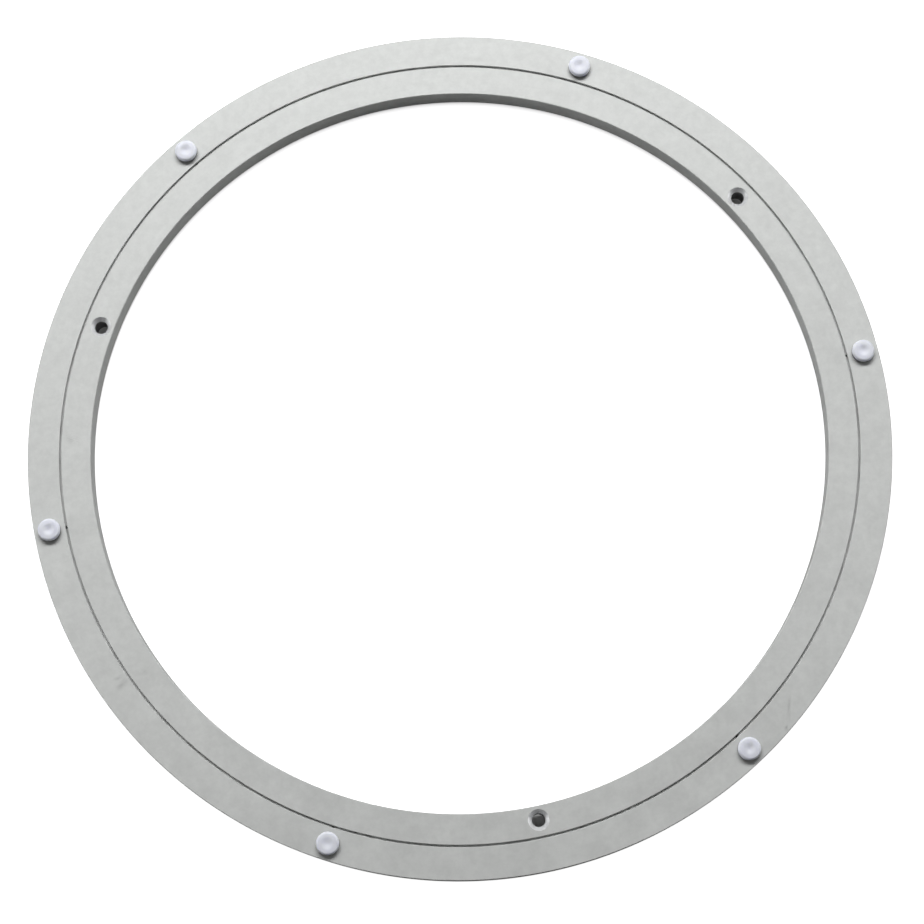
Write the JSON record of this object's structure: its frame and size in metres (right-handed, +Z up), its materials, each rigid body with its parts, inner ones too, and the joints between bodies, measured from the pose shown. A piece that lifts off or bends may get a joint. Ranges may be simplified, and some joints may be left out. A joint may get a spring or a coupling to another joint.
{
  "type": "thrust ball bearing",
  "caption": "Flat turntable bearing: two flush concentric aluminium rings turning on caged balls, with soft pads, countersunk screw holes and an open centre.",
  "frame": {"origin": "on the turning axis, in the plane of the feet's soles, where the bearing stands", "axes": "+Z up along the turning axis, +X through pad_1 on the outer ring"},
  "size_m": [0.4, 0.4, 0.0174],
  "materials": {
    "outer_ring": "extruded aluminium, clear satin anodised, fine lines round the ring",
    "inner_ring": "extruded aluminium, clear satin anodised, fine lines round the ring",
    "pads": "clear soft PVC, slightly milky and blue",
    "feet": "clear soft PVC, slightly milky and blue",
    "balls": "polished bearing steel",
    "ball_cage": "natural nylon strip",
    "joint_pins": "ground steel dowel"
  },
  "bodies": {
    "inner_ring_body": {"inner_ring": "inner_ring", "inner_ring_joint_pin": "joint_pins", "foot_1": "feet", "foot_2": "feet", "foot_3": "feet", "foot_4": "feet", "foot_5": "feet", "foot_6": "feet"},
    "outer_ring_body": {"outer_ring": "outer_ring", "outer_ring_joint_pin": "joint_pins", "pad_1": "pads", "pad_2": "pads", "pad_3": "pads", "pad_4": "pads", "pad_5": "pads", "pad_6": "pads"},
    "ball_cage_body": {"cage_segment_1": "ball_cage", "cage_segment_2": "ball_cage", "cage_segment_3": "ball_cage", "cage_segment_4": "ball_cage", "cage_segment_5": "ball_cage", "cage_segment_6": "ball_cage"},
    "ball_01_body": {"ball_01": "balls"},
    "ball_02_body": {"ball_02": "balls"},
    "ball_03_body": {"ball_03": "balls"},
    "ball_04_body": {"ball_04": "balls"},
    "ball_05_body": {"ball_05": "balls"},
    "ball_06_body": {"ball_06": "balls"},
    "ball_07_body": {"ball_07": "balls"},
    "ball_08_body": {"ball_08": "balls"},
    "ball_09_body": {"ball_09": "balls"},
    "ball_10_body": {"ball_10": "balls"},
    "ball_11_body": {"ball_11": "balls"},
    "ball_12_body": {"ball_12": "balls"},
    "ball_13_body": {"ball_13": "balls"},
    "ball_14_body": {"ball_14": "balls"},
    "ball_15_body": {"ball_15": "balls"},
    "ball_16_body": {"ball_16": "balls"},
    "ball_17_body": {"ball_17": "balls"},
    "ball_18_body": {"ball_18": "balls"},
    "ball_19_body": {"ball_19": "balls"},
    "ball_20_body": {"ball_20": "balls"},
    "ball_21_body": {"ball_21": "balls"},
    "ball_22_body": {"ball_22": "balls"},
    "ball_23_body": {"ball_23": "balls"},
    "ball_24_body": {"ball_24": "balls"},
    "ball_25_body": {"ball_25": "balls"},
    "ball_26_body": {"ball_26": "balls"},
    "ball_27_body": {"ball_27": "balls"},
    "ball_28_body": {"ball_28": "balls"},
    "ball_29_body": {"ball_29": "balls"},
    "ball_30_body": {"ball_30": "balls"},
    "ball_31_body": {"ball_31": "balls"},
    "ball_32_body": {"ball_32": "balls"},
    "ball_33_body": {"ball_33": "balls"},
    "ball_34_body": {"ball_34": "balls"},
    "ball_35_body": {"ball_35": "balls"},
    "ball_36_body": {"ball_36": "balls"}
  },
  "joints": [
    {"name": "outer_ring_turn", "type": "hinge", "parent": "inner_ring_body", "child": "outer_ring_body", "pos_m": [0, 0, 0.0087], "axis": [0, 0, 1], "continuous": true},
    {"name": "ball_cage_orbit", "type": "hinge", "parent": "inner_ring_body", "child": "ball_cage_body", "pos_m": [0, 0, 0.0087], "axis": [0, 0, 1], "continuous": true},
    {"name": "ball_01_spin", "type": "hinge", "parent": "ball_cage_body", "child": "ball_01_body", "pos_m": [0.1841, 0.01611, 0.0087], "axis": [-0.7044, -0.0616, 0.7071], "continuous": true},
    {"name": "ball_02_spin", "type": "hinge", "parent": "ball_cage_body", "child": "ball_02_body", "pos_m": [0.1785, 0.04783, 0.0087], "axis": [-0.683, -0.183, 0.7071], "continuous": true},
    {"name": "ball_03_spin", "type": "hinge", "parent": "ball_cage_body", "child": "ball_03_body", "pos_m": [0.16749, 0.0781, 0.0087], "axis": [-0.6409, -0.2988, 0.7071], "continuous": true},
    {"name": "ball_04_spin", "type": "hinge", "parent": "ball_cage_body", "child": "ball_04_body", "pos_m": [0.15138, 0.106, 0.0087], "axis": [-0.5792, -0.4056, 0.7071], "continuous": true},
    {"name": "ball_05_spin", "type": "hinge", "parent": "ball_cage_body", "child": "ball_05_body", "pos_m": [0.13067, 0.13067, 0.0087], "axis": [-0.5, -0.5, 0.7071], "continuous": true},
    {"name": "ball_06_spin", "type": "hinge", "parent": "ball_cage_body", "child": "ball_06_body", "pos_m": [0.106, 0.15138, 0.0087], "axis": [-0.4056, -0.5792, 0.7071], "continuous": true},
    {"name": "ball_07_spin", "type": "hinge", "parent": "ball_cage_body", "child": "ball_07_body", "pos_m": [0.0781, 0.16749, 0.0087], "axis": [-0.2988, -0.6409, 0.7071], "continuous": true},
    {"name": "ball_08_spin", "type": "hinge", "parent": "ball_cage_body", "child": "ball_08_body", "pos_m": [0.04783, 0.1785, 0.0087], "axis": [-0.183, -0.683, 0.7071], "continuous": true},
    {"name": "ball_09_spin", "type": "hinge", "parent": "ball_cage_body", "child": "ball_09_body", "pos_m": [0.01611, 0.1841, 0.0087], "axis": [-0.0616, -0.7044, 0.7071], "continuous": true},
    {"name": "ball_10_spin", "type": "hinge", "parent": "ball_cage_body", "child": "ball_10_body", "pos_m": [-0.01611, 0.1841, 0.0087], "axis": [0.0616, -0.7044, 0.7071], "continuous": true},
    {"name": "ball_11_spin", "type": "hinge", "parent": "ball_cage_body", "child": "ball_11_body", "pos_m": [-0.04783, 0.1785, 0.0087], "axis": [0.183, -0.683, 0.7071], "continuous": true},
    {"name": "ball_12_spin", "type": "hinge", "parent": "ball_cage_body", "child": "ball_12_body", "pos_m": [-0.0781, 0.16749, 0.0087], "axis": [0.2988, -0.6409, 0.7071], "continuous": true},
    {"name": "ball_13_spin", "type": "hinge", "parent": "ball_cage_body", "child": "ball_13_body", "pos_m": [-0.106, 0.15138, 0.0087], "axis": [0.4056, -0.5792, 0.7071], "continuous": true},
    {"name": "ball_14_spin", "type": "hinge", "parent": "ball_cage_body", "child": "ball_14_body", "pos_m": [-0.13067, 0.13067, 0.0087], "axis": [0.5, -0.5, 0.7071], "continuous": true},
    {"name": "ball_15_spin", "type": "hinge", "parent": "ball_cage_body", "child": "ball_15_body", "pos_m": [-0.15138, 0.106, 0.0087], "axis": [0.5792, -0.4056, 0.7071], "continuous": true},
    {"name": "ball_16_spin", "type": "hinge", "parent": "ball_cage_body", "child": "ball_16_body", "pos_m": [-0.16749, 0.0781, 0.0087], "axis": [0.6409, -0.2988, 0.7071], "continuous": true},
    {"name": "ball_17_spin", "type": "hinge", "parent": "ball_cage_body", "child": "ball_17_body", "pos_m": [-0.1785, 0.04783, 0.0087], "axis": [0.683, -0.183, 0.7071], "continuous": true},
    {"name": "ball_18_spin", "type": "hinge", "parent": "ball_cage_body", "child": "ball_18_body", "pos_m": [-0.1841, 0.01611, 0.0087], "axis": [0.7044, -0.0616, 0.7071], "continuous": true},
    {"name": "ball_19_spin", "type": "hinge", "parent": "ball_cage_body", "child": "ball_19_body", "pos_m": [-0.1841, -0.01611, 0.0087], "axis": [0.7044, 0.0616, 0.7071], "continuous": true},
    {"name": "ball_20_spin", "type": "hinge", "parent": "ball_cage_body", "child": "ball_20_body", "pos_m": [-0.1785, -0.04783, 0.0087], "axis": [0.683, 0.183, 0.7071], "continuous": true},
    {"name": "ball_21_spin", "type": "hinge", "parent": "ball_cage_body", "child": "ball_21_body", "pos_m": [-0.16749, -0.0781, 0.0087], "axis": [0.6409, 0.2988, 0.7071], "continuous": true},
    {"name": "ball_22_spin", "type": "hinge", "parent": "ball_cage_body", "child": "ball_22_body", "pos_m": [-0.15138, -0.106, 0.0087], "axis": [0.5792, 0.4056, 0.7071], "continuous": true},
    {"name": "ball_23_spin", "type": "hinge", "parent": "ball_cage_body", "child": "ball_23_body", "pos_m": [-0.13067, -0.13067, 0.0087], "axis": [0.5, 0.5, 0.7071], "continuous": true},
    {"name": "ball_24_spin", "type": "hinge", "parent": "ball_cage_body", "child": "ball_24_body", "pos_m": [-0.106, -0.15138, 0.0087], "axis": [0.4056, 0.5792, 0.7071], "continuous": true},
    {"name": "ball_25_spin", "type": "hinge", "parent": "ball_cage_body", "child": "ball_25_body", "pos_m": [-0.0781, -0.16749, 0.0087], "axis": [0.2988, 0.6409, 0.7071], "continuous": true},
    {"name": "ball_26_spin", "type": "hinge", "parent": "ball_cage_body", "child": "ball_26_body", "pos_m": [-0.04783, -0.1785, 0.0087], "axis": [0.183, 0.683, 0.7071], "continuous": true},
    {"name": "ball_27_spin", "type": "hinge", "parent": "ball_cage_body", "child": "ball_27_body", "pos_m": [-0.01611, -0.1841, 0.0087], "axis": [0.0616, 0.7044, 0.7071], "continuous": true},
    {"name": "ball_28_spin", "type": "hinge", "parent": "ball_cage_body", "child": "ball_28_body", "pos_m": [0.01611, -0.1841, 0.0087], "axis": [-0.0616, 0.7044, 0.7071], "continuous": true},
    {"name": "ball_29_spin", "type": "hinge", "parent": "ball_cage_body", "child": "ball_29_body", "pos_m": [0.04783, -0.1785, 0.0087], "axis": [-0.183, 0.683, 0.7071], "continuous": true},
    {"name": "ball_30_spin", "type": "hinge", "parent": "ball_cage_body", "child": "ball_30_body", "pos_m": [0.0781, -0.16749, 0.0087], "axis": [-0.2988, 0.6409, 0.7071], "continuous": true},
    {"name": "ball_31_spin", "type": "hinge", "parent": "ball_cage_body", "child": "ball_31_body", "pos_m": [0.106, -0.15138, 0.0087], "axis": [-0.4056, 0.5792, 0.7071], "continuous": true},
    {"name": "ball_32_spin", "type": "hinge", "parent": "ball_cage_body", "child": "ball_32_body", "pos_m": [0.13067, -0.13067, 0.0087], "axis": [-0.5, 0.5, 0.7071], "continuous": true},
    {"name": "ball_33_spin", "type": "hinge", "parent": "ball_cage_body", "child": "ball_33_body", "pos_m": [0.15138, -0.106, 0.0087], "axis": [-0.5792, 0.4056, 0.7071], "continuous": true},
    {"name": "ball_34_spin", "type": "hinge", "parent": "ball_cage_body", "child": "ball_34_body", "pos_m": [0.16749, -0.0781, 0.0087], "axis": [-0.6409, 0.2988, 0.7071], "continuous": true},
    {"name": "ball_35_spin", "type": "hinge", "parent": "ball_cage_body", "child": "ball_35_body", "pos_m": [0.1785, -0.04783, 0.0087], "axis": [-0.683, 0.183, 0.7071], "continuous": true},
    {"name": "ball_36_spin", "type": "hinge", "parent": "ball_cage_body", "child": "ball_36_body", "pos_m": [0.1841, -0.01611, 0.0087], "axis": [-0.7044, 0.0616, 0.7071], "continuous": true}
  ],
  "couplings": [
    {"joint": "ball_cage_orbit", "follows": "outer_ring_turn", "ratio": 0.50574},
    {"joint": "ball_01_spin", "follows": "outer_ring_turn", "ratio": 30.796},
    {"joint": "ball_02_spin", "follows": "outer_ring_turn", "ratio": 30.796},
    {"joint": "ball_03_spin", "follows": "outer_ring_turn", "ratio": 30.796},
    {"joint": "ball_04_spin", "follows": "outer_ring_turn", "ratio": 30.796},
    {"joint": "ball_05_spin", "follows": "outer_ring_turn", "ratio": 30.796},
    {"joint": "ball_06_spin", "follows": "outer_ring_turn", "ratio": 30.796},
    {"joint": "ball_07_spin", "follows": "outer_ring_turn", "ratio": 30.796},
    {"joint": "ball_08_spin", "follows": "outer_ring_turn", "ratio": 30.796},
    {"joint": "ball_09_spin", "follows": "outer_ring_turn", "ratio": 30.796},
    {"joint": "ball_10_spin", "follows": "outer_ring_turn", "ratio": 30.796},
    {"joint": "ball_11_spin", "follows": "outer_ring_turn", "ratio": 30.796},
    {"joint": "ball_12_spin", "follows": "outer_ring_turn", "ratio": 30.796},
    {"joint": "ball_13_spin", "follows": "outer_ring_turn", "ratio": 30.796},
    {"joint": "ball_14_spin", "follows": "outer_ring_turn", "ratio": 30.796},
    {"joint": "ball_15_spin", "follows": "outer_ring_turn", "ratio": 30.796},
    {"joint": "ball_16_spin", "follows": "outer_ring_turn", "ratio": 30.796},
    {"joint": "ball_17_spin", "follows": "outer_ring_turn", "ratio": 30.796},
    {"joint": "ball_18_spin", "follows": "outer_ring_turn", "ratio": 30.796},
    {"joint": "ball_19_spin", "follows": "outer_ring_turn", "ratio": 30.796},
    {"joint": "ball_20_spin", "follows": "outer_ring_turn", "ratio": 30.796},
    {"joint": "ball_21_spin", "follows": "outer_ring_turn", "ratio": 30.796},
    {"joint": "ball_22_spin", "follows": "outer_ring_turn", "ratio": 30.796},
    {"joint": "ball_23_spin", "follows": "outer_ring_turn", "ratio": 30.796},
    {"joint": "ball_24_spin", "follows": "outer_ring_turn", "ratio": 30.796},
    {"joint": "ball_25_spin", "follows": "outer_ring_turn", "ratio": 30.796},
    {"joint": "ball_26_spin", "follows": "outer_ring_turn", "ratio": 30.796},
    {"joint": "ball_27_spin", "follows": "outer_ring_turn", "ratio": 30.796},
    {"joint": "ball_28_spin", "follows": "outer_ring_turn", "ratio": 30.796},
    {"joint": "ball_29_spin", "follows": "outer_ring_turn", "ratio": 30.796},
    {"joint": "ball_30_spin", "follows": "outer_ring_turn", "ratio": 30.796},
    {"joint": "ball_31_spin", "follows": "outer_ring_turn", "ratio": 30.796},
    {"joint": "ball_32_spin", "follows": "outer_ring_turn", "ratio": 30.796},
    {"joint": "ball_33_spin", "follows": "outer_ring_turn", "ratio": 30.796},
    {"joint": "ball_34_spin", "follows": "outer_ring_turn", "ratio": 30.796},
    {"joint": "ball_35_spin", "follows": "outer_ring_turn", "ratio": 30.796},
    {"joint": "ball_36_spin", "follows": "outer_ring_turn", "ratio": 30.796}
  ]
}
